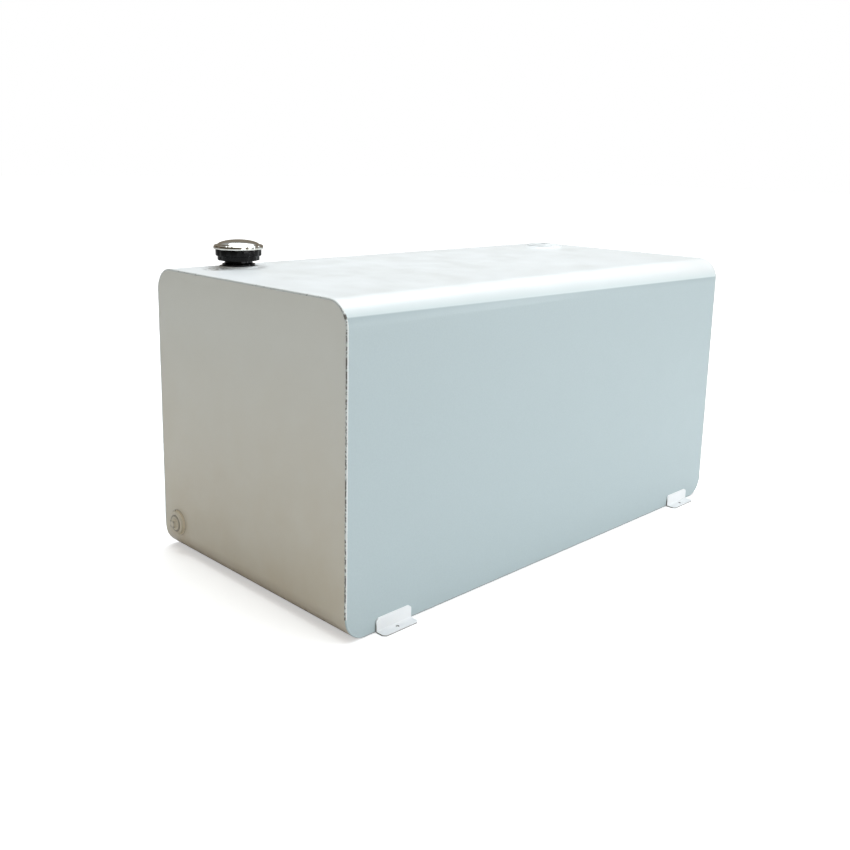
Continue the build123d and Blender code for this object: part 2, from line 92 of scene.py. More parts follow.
class Paint:
    """A material whose nodes are added one by one and joined to a Principled shader."""

    def __init__(self, name, roughness, metallic=0.0, coat=0.0, coat_roughness=0.1):
        self.material = bpy.data.materials.new(name)
        self.material.use_nodes = True
        self.tree = self.material.node_tree
        self.shader = self.tree.nodes["Principled BSDF"]
        self.shader.inputs["Roughness"].default_value = roughness
        self.shader.inputs["Metallic"].default_value = metallic
        self.shader.inputs["Coat Weight"].default_value = coat
        self.shader.inputs["Coat Roughness"].default_value = coat_roughness
        coordinates = self.tree.nodes.new("ShaderNodeTexCoord")
        self.place = coordinates.outputs["Object"]
        self.normal = coordinates.outputs["Normal"]

    def link(self, source, target):
        if isinstance(source, (int, float)):
            target.default_value = source
        elif isinstance(source, tuple):
            target.default_value = (*source, 1.0)
        else:
            self.tree.links.new(source, target)

    def math(self, operation, first, second=0.0, clamp=False):
        node = self.tree.nodes.new("ShaderNodeMath")
        node.operation = operation
        node.use_clamp = clamp
        self.link(first, node.inputs[0])
        self.link(second, node.inputs[1])
        return node.outputs[0]

    def split(self, vector):
        node = self.tree.nodes.new("ShaderNodeSeparateXYZ")
        self.link(vector, node.inputs[0])
        return node.outputs

    def axes(self):
        """The place on the object as x, y and z."""
        return self.split(self.place)

    def facing(self):
        """The surface's direction as x, y and z."""
        return self.split(self.normal)

    def distance(self, point):
        node = self.tree.nodes.new("ShaderNodeVectorMath")
        node.operation = "DISTANCE"
        self.link(self.place, node.inputs[0])
        node.inputs[1].default_value = point
        return node.outputs["Value"]

    def stretched(self, scale):
        node = self.tree.nodes.new("ShaderNodeMapping")
        node.inputs["Scale"].default_value = scale
        self.link(self.place, node.inputs["Vector"])
        return node.outputs[0]

    def noise(self, size, detail=2.0, rough=0.5, place=None):
        """Noise whose features are about that size, in metres."""
        node = self.tree.nodes.new("ShaderNodeTexNoise")
        node.inputs["Scale"].default_value = 1.0 / size
        node.inputs["Detail"].default_value = detail
        node.inputs["Roughness"].default_value = rough
        self.link(place or self.place, node.inputs["Vector"])
        return node.outputs["Fac"]

    def spread(self, value, low, high, new_low=0.0, new_high=1.0):
        """Maps low..high of a value to new_low..new_high, held at the ends."""
        node = self.tree.nodes.new("ShaderNodeMapRange")
        self.link(value, node.inputs["Value"])
        node.inputs["From Min"].default_value = low
        node.inputs["From Max"].default_value = high
        node.inputs["To Min"].default_value = new_low
        node.inputs["To Max"].default_value = new_high
        return node.outputs[0]

    def mix(self, share, first, second):
        node = self.tree.nodes.new("ShaderNodeMix")
        node.data_type = "RGBA"
        self.link(share, node.inputs["Factor"])
        self.link(first, node.inputs[6])
        self.link(second, node.inputs[7])
        return node.outputs[2]

    def bump(self, height, depth, under=None):
        node = self.tree.nodes.new("ShaderNodeBump")
        node.inputs["Distance"].default_value = depth
        self.link(height, node.inputs["Height"])
        if under is not None:
            self.link(under, node.inputs["Normal"])
        return node.outputs[0]

    def finish(self, colour, roughness=None, normal=None):
        self.link(colour, self.shader.inputs["Base Color"])
        if roughness is not None:
            self.link(roughness, self.shader.inputs["Roughness"])
        if normal is not None:
            self.link(normal, self.shader.inputs["Normal"])
        return self.material


WHITE = (0.845, 0.87, 0.875)
WHITE_SHADE = (0.79, 0.81, 0.805)
# Painted shade on the lower part of the top bend, just above the front panel.
BEND_PAINTED_SHADE = (0.71, 0.79, 0.795)
PANEL_BLUE = (0.500, 0.591, 0.611)
PANEL_BLUE_SHADE = (0.474, 0.564, 0.585)
# Painted shade on the strip of the front panel that still lies on the bend.
PANEL_BLUE_PAINTED_SHADE = (0.435, 0.520, 0.540)
# Browner towards the floor on the end sheets: painted shade with a little soil.
SOIL_AND_SHADE = (0.715, 0.625, 0.47)
# Darker on the lower bend of the end sheets: painted shade with some mud.
MUD_AND_SHADE = (0.40, 0.32, 0.245)
DRAIN_STAIN = (0.60, 0.50, 0.33)
STREAK_DARK = (0.20, 0.19, 0.175)
# Dark brown of painted shade: rings in the drain recess, the end sheets' bottom shadow line, and the feet's
# dark ends and edge.
SHADE_BROWN = (0.17, 0.14, 0.11)
BARE_CHIP = (0.115, 0.105, 0.088)
END_BEAD = (0.80, 0.83, 0.815)
# Warm tint of the end sheets' white: painted warm shade.
END_WHITE = (0.905, 0.92, 0.865)
FOOT_WHITE = (0.95, 0.96, 0.97)
FOOT_SHADE = (0.90, 0.915, 0.925)


def orange_peel(paint):
    """Powder coat's fine dimples over a very slight waviness of the sheet."""
    waves = paint.bump(paint.noise(0.22, 1.0), 0.0022)
    peel = paint.bump(paint.noise(0.0042, 2.0, 0.6), 0.00009, waves)
    return paint.bump(paint.noise(0.0011, 1.0), 0.00002, peel)


def coat_roughness(paint, low, high):
    return paint.spread(paint.noise(0.05, 4.0), 0.35, 0.65, low, high)


def patches(paint, size, light, dark):
    """Two close shades in soft patches of about that size."""
    return paint.mix(paint.spread(paint.noise(size, 3.0), 0.35, 0.7), light, dark)


def white_coat():
    paint = Paint("white_powder_coat", 0.36, coat=0.12, coat_roughness=0.22)
    colour = patches(paint, 0.16, WHITE, WHITE_SHADE)
    return paint.finish(colour, coat_roughness(paint, 0.30, 0.44), orange_peel(paint))


def foot_coat():
    """White coat with painted shade on the sheared ends and a painted contact shadow along the floor leg's
    outer edge.
    """
    paint = Paint("foot_powder_coat", 0.36, coat=0.12, coat_roughness=0.22)
    across, _, upward = paint.facing()
    height = paint.axes()[2]
    sideways = paint.spread(paint.math("ABSOLUTE", across), 0.80, 0.95)
    ends = paint.math("MULTIPLY", sideways, paint.spread(height, 0.014, 0.022, 0.9, 0.1))
    upright = paint.spread(paint.math("ABSOLUTE", upward), 0.3, 0.5, 1.0, 0.0)
    edge = paint.math("MULTIPLY", upright, paint.spread(height, 0.0016, 0.0028, 0.8, 0.0))
    # Painted shade on the sheared ends and a painted contact shadow along the outer edge.
    shade_share = paint.math("MAXIMUM", ends, edge)
    colour = paint.mix(shade_share, patches(paint, 0.05, FOOT_WHITE, FOOT_SHADE), SHADE_BROWN)
    return paint.finish(colour, coat_roughness(paint, 0.30, 0.44), orange_peel(paint))


# Where the dark streaks on the top lie, measured from the filler.
STREAKS_FROM_FILLER = Vector((-0.064, -0.018, 0.0))


def front_sheet_coat(border, line_height, line_tilt):
    """White sheet whose front panel is a pale blue-grey inside a narrow white border."""
    paint = Paint("upper_sheet_coat", 0.38, coat=0.12, coat_roughness=0.24)
    across, depth, height = paint.axes()
    beyond_x = paint.math("SUBTRACT", paint.math("ABSOLUTE", across), HALF_LENGTH - BEND)
    beyond_z = paint.math("SUBTRACT", BEND, height)
    out_x = paint.math("POWER", paint.math("MAXIMUM", beyond_x, 0.0), 2.0)
    out_z = paint.math("POWER", paint.math("MAXIMUM", beyond_z, 0.0), 2.0)
    corner = paint.math("SQRT", paint.math("ADD", out_x, out_z))
    edge = paint.spread(height, 0.0, BEND, BEND, BEND - border)
    inside = paint.math("LESS_THAN", corner, edge)
    level = paint.math("ADD", height, paint.math("MULTIPLY", across, line_tilt))
    below = paint.spread(level, line_height - 0.0012, line_height + 0.0012, 1.0, 0.0)
    in_front = paint.math("LESS_THAN", depth, -HALF_DEPTH + BEND / 2)
    panel = paint.math("MULTIPLY", paint.math("MULTIPLY", inside, below), in_front)

    white = patches(paint, 0.16, WHITE, WHITE_SHADE)
    # Painted shade: the front bend darkens into a blue-grey tint just above the panel's line.
    near_line = paint.spread(level, line_height + 0.022, line_height + 0.002, 0.0, 1.0)
    white = paint.mix(paint.math("MULTIPLY", near_line, in_front), white, BEND_PAINTED_SHADE)
    # Dark streaks on the top beside the filler flange.
    close_by = paint.spread(paint.distance(FILLER + STREAKS_FROM_FILLER), 0.014, 0.034, 1.0, 0.0)
    streaks = paint.spread(paint.noise(0.011, 4.0, 0.6), 0.44, 0.52, 0.05, 0.9)
    streak_share = paint.math("MULTIPLY", close_by, streaks)
    white = paint.mix(streak_share, white, STREAK_DARK)
    grain = paint.spread(paint.noise(0.0035, 2.0, 0.7), 0.3, 0.7)
    blue = paint.mix(grain, PANEL_BLUE, PANEL_BLUE_SHADE)
    # Painted shade: the panel darkens towards its top edge, where it still lies on the bend.
    bend_shade_share = paint.spread(level, TOP - BEND, line_height, 0.0, 1.0)
    blue = paint.mix(bend_shade_share, blue, PANEL_BLUE_PAINTED_SHADE)
    colour = paint.mix(panel, white, blue)
    satin = paint.spread(panel, 0.0, 1.0, 0.34, 0.46)
    rough = paint.math("ADD", satin, paint.spread(paint.noise(0.05, 4.0), 0.35, 0.65, -0.04, 0.04))
    return paint.finish(colour, rough, orange_peel(paint))


# Painted shade: dark rings in the drain's recess and along the foot of its weld.
DRAIN_SHADE_RINGS = (0.0185, 0.0275)


def end_sheet_coat():
    """White sheet with a warm tint, darker and browner towards the floor: painted warm shade of the dimly
    lit end with a little soil, painted shade with some mud on the lower bend, and a painted shadow line
    along the bottom edge.
    """
    paint = Paint("lower_sheet_coat", 0.40, coat=0.10, coat_roughness=0.25)
    height = paint.axes()[2]
    low_down = paint.spread(height, 0.0, 0.52, 0.95, 0.12)
    patchy = paint.spread(paint.noise(0.13, 4.0, 0.6), 0.3, 0.75, 0.72, 1.0)
    # Painted shade with a little soil: darker and browner towards the floor.
    soil_and_shade = paint.math("MULTIPLY", low_down, patchy)
    colour = paint.mix(soil_and_shade, END_WHITE, SOIL_AND_SHADE)
    # Painted shade with some mud: darker on the lower bend, where the sheet turns under.
    colour = paint.mix(paint.spread(height, 0.012, 0.050, 0.6, 0.0), colour, MUD_AND_SHADE)
    under_drain = paint.spread(paint.distance(DRAIN - Vector((0, 0, 0.024))), 0.012, 0.05, 0.65, 0.0)
    drip = paint.math("MULTIPLY", under_drain, paint.spread(paint.noise(0.015, 3.0), 0.35, 0.65, 0.4, 1.0))
    colour = paint.mix(drip, colour, DRAIN_STAIN)
    from_drain = paint.distance(DRAIN)
    # Painted shade in the drain's recess and along the foot of its weld.
    for radius in DRAIN_SHADE_RINGS:
        off_ring = paint.math("ABSOLUTE", paint.math("SUBTRACT", from_drain, radius))
        colour = paint.mix(paint.spread(off_ring, 0.0004, 0.0018, 0.65, 0.0), colour, SHADE_BROWN)
    # Painted shadow line along the bottom edge, where the sheet turns under towards the floor.
    colour = paint.mix(paint.spread(height, 0.0125, 0.0185, 0.85, 0.0), colour, SHADE_BROWN)
    return paint.finish(colour, coat_roughness(paint, 0.34, 0.48), orange_peel(paint))


def weld_coat(name, extra_wear_and_shade=None, coat=WHITE):
    """Coated weld, with dark chips of bare metal here and there. An extra share, when given, takes the chip
    colour too: wear on the end seams, and a painted contact shadow at the foot of the front panel's seam.
    """
    paint = Paint(name, 0.42, coat=0.10, coat_roughness=0.25)
    specks = paint.spread(paint.noise(0.0046, 2.5, 0.65), 0.64, 0.67)
    chips_and_shade = paint.math("MULTIPLY", specks, paint.spread(paint.noise(0.05, 2.0), 0.50, 0.62))
    if extra_wear_and_shade is not None:
        chips_and_shade = paint.math("MAXIMUM", chips_and_shade, extra_wear_and_shade(paint))
    colour = paint.mix(chips_and_shade, coat, BARE_CHIP)
    dents = paint.bump(paint.noise(0.0016, 2.0, 0.6), 0.00018)
    return paint.finish(colour, paint.spread(chips_and_shade, 0.0, 1.0, 0.40, 0.75), dents)


def painted_foot_shadow(paint):
    """Painted contact shadow: a dark line along the lowest part of a bottom seam."""
    return paint.spread(paint.axes()[2], 0.0020, 0.0036, 0.7, 0.0)


CORNER_CHIP = Vector((-HALF_LENGTH, -HALF_DEPTH + 0.11 * BEND, TOP - 0.55 * BEND))


def end_seam_wear(paint):
    """Fine dark beading up the front seam, a thin grey line over the top and nothing at the rear."""
    side_on = paint.spread(paint.math("ABSOLUTE", paint.facing()[0]), 0.50, 0.70)
    depth = paint.axes()[1]
    front = paint.spread(depth, -HALF_DEPTH + 0.010, -HALF_DEPTH + 0.024, 1.0, 0.0)
    not_rear = paint.spread(depth, HALF_DEPTH - 0.05, HALF_DEPTH - 0.02, 1.0, 0.0)
    gaps = paint.spread(paint.noise(0.06, 2.0), 0.3, 0.7, -0.05, 0.05)
    beading = paint.spread(paint.math("ADD", paint.noise(0.0052, 3.0, 0.7), gaps), 0.45, 0.54, 0.12, 0.95)
    over_top = paint.spread(paint.noise(0.007, 3.0, 0.7), 0.58, 0.66, 0.16, 0.60)
    seam = paint.math(
        "ADD",
        paint.math("MULTIPLY", front, beading),
        paint.math("MULTIPLY", paint.math("SUBTRACT", not_rear, front, clamp=True), over_top),
    )
    chip = paint.spread(paint.distance(CORNER_CHIP), 0.003, 0.0070, 0.95, 0.0)
    return paint.math("MAXIMUM", paint.math("MULTIPLY", side_on, seam), chip)


def gloss_black(name, roughness):
    paint = Paint(name, roughness, coat=0.15, coat_roughness=0.04)
    paint.shader.inputs["Specular IOR Level"].default_value = 0.08
    cloudy = paint.spread(paint.noise(0.004, 3.0), 0.4, 0.7)
    colour = paint.mix(cloudy, (0.003, 0.003, 0.003), (0.007, 0.0065, 0.0065))
    rough = paint.spread(paint.noise(0.012, 4.0, 0.65), 0.35, 0.7, roughness - 0.05, roughness + 0.10)
    return paint.finish(colour, rough, paint.bump(paint.noise(0.0012, 2.0), 0.00003))


def metal(name, light, dark, roughness, stretch=(1, 1, 1), grain=0.0008, depth=0.00002):
    paint = Paint(name, roughness, metallic=1.0)
    lines = paint.noise(grain, 3.0, 0.6, paint.stretched(stretch))
    stains = paint.noise(0.012, 4.0, 0.6)
    colour = paint.mix(paint.spread(stains, 0.35, 0.7), light, dark)
    rough = paint.spread(stains, 0.3, 0.7, roughness * 0.75, roughness * 1.35)
    return paint.finish(colour, rough, paint.bump(lines, depth))


def soft_matt(name, light, dark, roughness, grain):
    paint = Paint(name, roughness)
    colour = paint.mix(paint.spread(paint.noise(0.006, 4.0), 0.35, 0.7), light, dark)
    rough = paint.spread(paint.noise(0.003, 3.0), 0.3, 0.7, roughness - 0.08, roughness + 0.08)
    return paint.finish(colour, rough, paint.bump(paint.noise(grain, 2.0), 0.00005))


BORDER = 1.0 * MM
BREAK_LINE = TOP - 35.5 * MM
BREAK_TILT = 0.0115

COAT = white_coat()
FOOT_COAT = foot_coat()
UPPER_COAT = front_sheet_coat(BORDER, BREAK_LINE, BREAK_TILT)
LOWER_COAT = end_sheet_coat()
WELD = weld_coat("weld_coat")
# The front panel's seam is blue-grey, with a painted contact shadow along its foot.
PANEL_WELD = weld_coat("panel_weld_coat", painted_foot_shadow, PANEL_BLUE)
# The drain weld takes the end sheets' darker brown: painted shade with a little soil.
DRAIN_WELD = weld_coat("drain_weld_coat", coat=SOIL_AND_SHADE)
END_WELD = weld_coat("end_weld_coat", end_seam_wear, END_BEAD)
NECK_BLACK = gloss_black("neck_enamel", 0.17)
CAP_BLACK = gloss_black("cap_gloss_black", 0.13)
CHROME = metal("cap_chrome", (0.80, 0.79, 0.76), (0.64, 0.61, 0.55), 0.07)
ZINC = metal("zinc_plate", (0.66, 0.67, 0.66), (0.50, 0.50, 0.47), 0.34)
RAW_STEEL = metal("mill_steel", (0.42, 0.43, 0.44), (0.24, 0.22, 0.20), 0.42, stretch=(1, 1, 0.08))
SPRING_STEEL = metal("spring_steel", (0.58, 0.59, 0.60), (0.44, 0.43, 0.41), 0.22)
BRASS = metal("machined_brass", (0.80, 0.62, 0.30), (0.62, 0.45, 0.20), 0.26)
RUBBER = soft_matt("seal_rubber", (0.022, 0.022, 0.023), (0.045, 0.044, 0.043), 0.72, 0.0012)
CAGE_PLASTIC = soft_matt("cage_plastic", (0.05, 0.05, 0.052), (0.035, 0.035, 0.036), 0.50, 0.0009)

NODE_PAINT = {
    "upper_wrap": UPPER_COAT,
    "lower_wrap": LOWER_COAT,
    "left_baffle": RAW_STEEL,
    "right_baffle": RAW_STEEL,
    "neck_gasket": RUBBER,
    "cap_gasket": RUBBER,
    "seal_plate": ZINC,
    "vent_seat": RUBBER,
    "vent_cage": CAGE_PLASTIC,
    "vent_spring": SPRING_STEEL,
    "vent_disc": BRASS,
    "plate_clip": SPRING_STEEL,
    "pump_port_seal": RUBBER,
    "drain_seal": RUBBER,
}

SMOOTH_ANGLE = math.radians(32)


def shade_softly(mesh):
    mesh.polygons.foreach_set("use_smooth", [True] * len(mesh.polygons))
    mesh.set_sharp_from_angle(angle=SMOOTH_ANGLE)


def paint_cad_nodes():
    for name, material in NODE_PAINT.items():
        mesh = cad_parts[name].data
        mesh.materials.clear()
        mesh.materials.append(material)


# ---- mesh building ----


def turn_faces_out(mesh):
    work = bmesh.new()
    work.from_mesh(mesh)
    bmesh.ops.recalc_face_normals(work, faces=work.faces)
    work.to_mesh(mesh)
    work.free()


def add_piece(name, points, faces, body, material, slot, stands_for=()):
    """Makes a mesh piece that rides on a body and stands for the named CAD nodes."""
    mesh = bpy.data.meshes.new(name)
    mesh.from_pydata([tuple(p) for p in points], [], faces)
    turn_faces_out(mesh)
    mesh.materials.append(material)
    shade_softly(mesh)
    piece = bpy.data.objects.new(name, mesh)
    bpy.context.scene.collection.objects.link(piece)
    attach(piece, body)
    if stands_for:
        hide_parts(*stands_for)
    return piece


def softened(points, radius, steps=3):
    """Rounds every corner of a closed outline."""
    rounded = []
    count = len(points)
    for i, corner in enumerate(points):
        here = Vector(corner)
        before = Vector(points[i - 1]) - here
        after = Vector(points[(i + 1) % count]) - here
        reach = min(radius, before.length * 0.45, after.length * 0.45)
        start = here + before.normalized() * reach
        end = here + after.normalized() * reach
        for step in range(steps + 1):
            t = step / steps
            rounded.append(tuple(start.lerp(here, t).lerp(here.lerp(end, t), t)))
    return rounded


def lathe(profile, segments, radius_at=None):
    """Turns an outline of (radius, height) about Z. A point on the axis becomes one pole."""
    points, rows = [], []
    for radius, height in profile:
        if radius < TINY:
            rows.append([len(points)] * segments)
            points.append(Vector((0, 0, height)))
            continue
        row = []
        for i in range(segments):
            turn = 2 * math.pi * i / segments
            reach = radius if radius_at is None else radius_at(radius, height, turn)
            row.append(len(points))
            points.append(Vector((reach * math.cos(turn), reach * math.sin(turn), height)))
        rows.append(row)
    faces = []
    closed = profile[0][0] > TINY or profile[-1][0] > TINY
    for r in range(len(rows) if closed else len(rows) - 1):
        low, high = rows[r], rows[(r + 1) % len(rows)]
        for i in range(segments):
            j = (i + 1) % segments
            corners = [low[i], low[j], high[j], high[i]]
            face = [c for k, c in enumerate(corners) if c != corners[k - 1]]
            if len(face) > 2:
                faces.append(face)
    return points, faces


def placed(shape, place):
    points, faces = shape
    return [place @ p for p in points], faces


def joined(first, second):
    """Two shapes as one."""
    shift = len(first[0])
    faces = [[corner + shift for corner in face] for face in second[1]]
    return list(first[0]) + list(second[0]), list(first[1]) + faces


def tube_faces(rows, around):
    """Faces of a tube closed at both ends, whose points come row by row."""
    faces = []
    for r in range(rows - 1):
        a, b = r * around, (r + 1) * around
        for k in range(around):
            m = (k + 1) % around
            faces.append([a + k, a + m, b + m, b + k])
    faces.append(list(range(around))[::-1])
    faces.append([(rows - 1) * around + k for k in range(around)])
    return faces


def stacked_squares(rows, corner, place):
    """Closed bar through rounded squares. rows holds each square's (half side, height)."""
    points = []
    for half, height in rows:
        square = [(-half, -half), (half, -half), (half, half), (-half, half)]
        points += [place @ Vector((x, y, height)) for x, y in softened(square, corner)]
    return points, tube_faces(len(rows), len(points) // len(rows))


def thread_steps(radius, low, high, pitch):
    """Outline points up a threaded stretch, close enough together to carry the thread."""
    count = max(2, round((high - low) / pitch * 8))
    return [(radius, low + (high - low) * i / count) for i in range(count + 1)]


def thread_form(low, high, pitch, depth, outward=True):
    """Radius change of a right-hand thread between two heights, fading out at both ends."""

    def radius_at(radius, height, turn):
        if not low <= height <= high:
            return radius
        wave = (height / pitch - turn / (2 * math.pi)) % 1.0
        ridge = 1.0 - abs(2.0 * wave - 1.0)
        ridge = min(1.0, ridge * 1.35)
        fade = min(1.0, (height - low) / (pitch * 0.6), (high - height) / (pitch * 0.6))
        cut = depth * (1.0 - ridge) * fade
        return radius - cut if outward else radius + cut

    return radius_at


# ---- weld beads ----

BEAD_RADIUS = 2.6 * MM
BEAD_SINK = 1.9 * MM
BEAD_FLUSH = 2.85 * MM
BEAD_PITCH = 4.6 * MM
BEAD_STEP = 1.15 * MM
BEAD_SIDES = 10


def walk(corners, bend_radius, step, hand):
    """Evenly spaced points along straight runs joined by arcs, each with its outward normal.

    hand is 1 where the path turns left round the shape and -1 where it turns right.
    """
    path = []
    runs = len(corners) - 1
    for i in range(runs):
        start, end = Vector(corners[i]), Vector(corners[i + 1])
        along = (end - start).normalized()
        outward = hand * Vector((along.y, -along.x))
        a = start + along * (bend_radius if i > 0 else 0)
        b = end - along * (bend_radius if i < runs - 1 else 0)
        count = max(1, round((b - a).length / step))
        path += [(a.lerp(b, k / count), outward) for k in range(count)]
        if i < runs - 1:
            centre = b - outward * bend_radius
            count = round(bend_radius * math.pi / 2 / step)
            for k in range(count):
                angle = math.pi / 2 * k / count
                ray = outward * math.cos(angle) + along * math.sin(angle)
                path.append((centre + ray * bend_radius, ray))
    path.append((Vector(corners[-1]), path[-1][1]))
    return path


def rippled_bead(path, lift, inset, seed):
    """Weld bead as a tube whose radius ripples.

    lift turns a path point, its outward normal, an outward and a sideways offset into a place in space.
    """
    chance = random.Random(seed)
    points = []
    length = 0.0
    wobble = 0.0
    last = path[0][0]
    for here, outward in path:
        length += (here - last).length
        last = here
        wobble = wobble * 0.93 + chance.uniform(-1, 1) * 0.07
        ripple = abs(math.sin(math.pi * length / BEAD_PITCH))
        size = BEAD_RADIUS * (0.88 + 0.12 * ripple + 0.05 * wobble)
        for k in range(BEAD_SIDES):
            angle = 2 * math.pi * k / BEAD_SIDES
            out = size * math.cos(angle) - inset
            side = size * math.sin(angle) + 0.25 * wobble * BEAD_RADIUS
            points.append(lift(here, outward, out, side))
    return points, tube_faces(len(path), BEAD_SIDES)


def end_seam(side):
    """Bead up an end's front edge, over the top and down its rear edge."""
    name = "right_end_weld" if side > 0 else "left_end_weld"
    corners = [(-HALF_DEPTH, BEND), (-HALF_DEPTH, TOP), (HALF_DEPTH, TOP), (HALF_DEPTH, BEND)]
    path = walk(corners, BEND, BEAD_STEP, -1)
    depth = BEAD_FLUSH if side > 0 else BEAD_SINK

    def lift(here, outward, out, sideways):
        spot = here + outward * out
        return Vector((side * (HALF_LENGTH - depth + sideways), spot.x, spot.y))

    shape = rippled_bead(path, lift, BEAD_SINK, 11 + side)
    return add_piece(name + "_bead", *shape, "tank", END_WELD, "white_coat", [name])


def bottom_seam(side):
    """Bead under the front or rear panel, round both lower bends."""
    name = "front_bottom_weld" if side < 0 else "rear_bottom_weld"
    corners = [(-HALF_LENGTH, BEND), (-HALF_LENGTH, 0), (HALF_LENGTH, 0), (HALF_LENGTH, BEND)]
    path = walk(corners, BEND, BEAD_STEP, 1)

    def lift(here, outward, out, sideways):
        spot = here + outward * out
        return Vector((spot.x, side * (HALF_DEPTH - BEAD_SINK + sideways), spot.y))

    shape = rippled_bead(path, lift, BEAD_FLUSH, 23 + side)
    paint = PANEL_WELD if side < 0 else WELD
    return add_piece(name + "_bead", *shape, "tank", paint, "white_coat", [name])


def ring_weld(name, node, place, radius, leg, seed, paint=WELD):
    """Rippled fillet weld round a flange."""
    chance = random.Random(seed)
    count = round(2 * math.pi * radius / BEAD_STEP)
    sides = 8
    points, faces = [], []
    wobble = 0.0
    for i in range(count):
        turn = 2 * math.pi * i / count
        wobble = wobble * 0.9 + chance.uniform(-1, 1) * 0.1
        ripple = abs(math.sin(math.pi * i * BEAD_STEP / BEAD_PITCH))
        size = leg * (0.84 + 0.12 * ripple + 0.06 * wobble)
        for k in range(sides):
            swing = math.pi / 2 * k / (sides - 2)
            if k == sides - 1:
                across, up = -0.3 * size, 0.0
            else:
                bulge = size * (1.0 - 0.22 * math.sin(2 * swing))
                across, up = bulge * math.cos(swing), bulge * math.sin(swing)
            reach = radius + across
            points.append(place @ Vector((reach * math.cos(turn), reach * math.sin(turn), up)))
    for i in range(count):
        j = (i + 1) % count
        for k in range(sides):
            m = (k + 1) % sides
            faces.append([i * sides + k, j * sides + k, j * sides + m, i * sides + m])
    return add_piece(name, points, faces, "tank", paint, "white_coat", [node])


# ---- feet ----

FOOT_NODES = ("front_left_foot", "front_right_foot", "rear_left_foot", "rear_right_foot")
FOOT_GAUGE = 3 * MM
FOOT_INNER_BEND = 2 * MM
FOOT_OUTER_BEND = 5 * MM
FOOT_CORNER = 6 * MM
FOOT_TOP_CORNER = 3 * MM
FOOT_HOLE = 3.5 * MM
FOOT_HOLE_OUT = 12 * MM
FOOT_SOFT_EDGE = 0.45 * MM
FOOT_WELD_SHORT = 8 * MM
FOOT_WELD_ROWS = 96
FOOT_WELD_RIPPLES = 20
DRILL_REACH = 20 * MM


def foot_strip(width, reach, height):
    """The foot as a flat strip, its outline as (across, along) from the floor leg's tip upwards."""
    half = width / 2
    arc = math.pi / 2 * (FOOT_INNER_BEND + FOOT_OUTER_BEND) / 2
    length = (reach - FOOT_OUTER_BEND) + arc + (height - FOOT_OUTER_BEND)
    tip = [(-half + FOOT_CORNER, 0.0), (half - FOOT_CORNER, 0.0), (half, FOOT_CORNER)]
    top = [(half, length - FOOT_TOP_CORNER), (half - FOOT_TOP_CORNER, length)]
    mirrored = [(-x, y) for x, y in reversed(top)] + [(-half, FOOT_CORNER)]
    return tip + top + mirrored, arc


def folded(along, skin, reach, arc):
    """How far out and up a point of the flat strip comes to lie once the strip is bent."""
    flat = reach - FOOT_OUTER_BEND
    if along <= flat + TINY:
        return reach - along, skin
    if along < flat + arc - TINY:
        turn = math.pi / 2 * (along - flat) / arc
        radius = FOOT_OUTER_BEND - skin
        return FOOT_OUTER_BEND - radius * math.sin(turn), FOOT_OUTER_BEND - radius * math.cos(turn)
    return skin, FOOT_OUTER_BEND + along - flat - arc


def bent_tab(node):
    """The foot's flat strip, thickened and bent."""
    low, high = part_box(node)
    outward = -1 if low.y < 0 else 1
    reach, height = high.y - low.y, high.z
    outline, arc = foot_strip(high.x - low.x, reach, height)
    flat = reach - FOOT_OUTER_BEND
    work = bmesh.new()
    work.faces.new([work.verts.new((x, y, 0.0)) for x, y in outline])
    for cut in [flat + arc * k / 8 for k in range(9)]:
        parts = work.verts[:] + work.edges[:] + work.faces[:]
        bmesh.ops.bisect_plane(work, geom=parts, plane_co=(0, cut, 0), plane_no=(0, 1, 0))
    made = bmesh.ops.extrude_face_region(work, geom=work.faces[:])
    inner = {v for v in made["geom"] if isinstance(v, bmesh.types.BMVert)}
    middle_x = (low.x + high.x) / 2
    for v in work.verts:
        out, up = folded(v.co.y, FOOT_GAUGE if v in inner else 0.0, reach, arc)
        v.co = (middle_x + v.co.x, outward * (HALF_DEPTH + out), up)
    work.verts.index_update()
    points = [v.co.copy() for v in work.verts]
    faces = [[v.index for v in f.verts] for f in work.faces]
    work.free()
    return points, faces


def foot(node):
    """Bent steel tab with clipped corners, softened edges and a bolt hole."""
    tab = add_piece(node + "_tab", *bent_tab(node), "tank", FOOT_COAT, "white_coat", [node])
    low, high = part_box(node)
    outward = -1 if low.y < 0 else 1
    drill = [(0.0, -DRILL_REACH), (FOOT_HOLE, -DRILL_REACH), (FOOT_HOLE, DRILL_REACH), (0.0, DRILL_REACH)]
    spot = Matrix.Translation(((low.x + high.x) / 2, outward * (HALF_DEPTH + FOOT_HOLE_OUT), 0))
    cut_away(tab, *placed(lathe(drill, 32), spot))
    soft = tab.modifiers.new("edges", "BEVEL")
    soft.width = FOOT_SOFT_EDGE
    soft.segments = 3
    soft.limit_method = "ANGLE"
    soft.angle_limit = math.radians(40)
    bake(tab)


def bake(piece):
    """Applies the piece's modifiers."""
    graph = bpy.context.evaluated_depsgraph_get()
    mesh = bpy.data.meshes.new_from_object(piece.evaluated_get(graph))
    piece.modifiers.clear()
    piece.data = mesh
    shade_softly(mesh)


def cut_away(piece, points, faces):
    """Cuts a closed shape out of a piece."""
    mesh = bpy.data.meshes.new("cutter")
    mesh.from_pydata([tuple(p) for p in points], [], faces)
    turn_faces_out(mesh)
    cutter = bpy.data.objects.new("cutter", mesh)
    bpy.context.scene.collection.objects.link(cutter)
    cut = piece.modifiers.new("cut", "BOOLEAN")
    cut.object = cutter
    cut.solver = "EXACT"
    bake(piece)
    bpy.data.objects.remove(cutter)


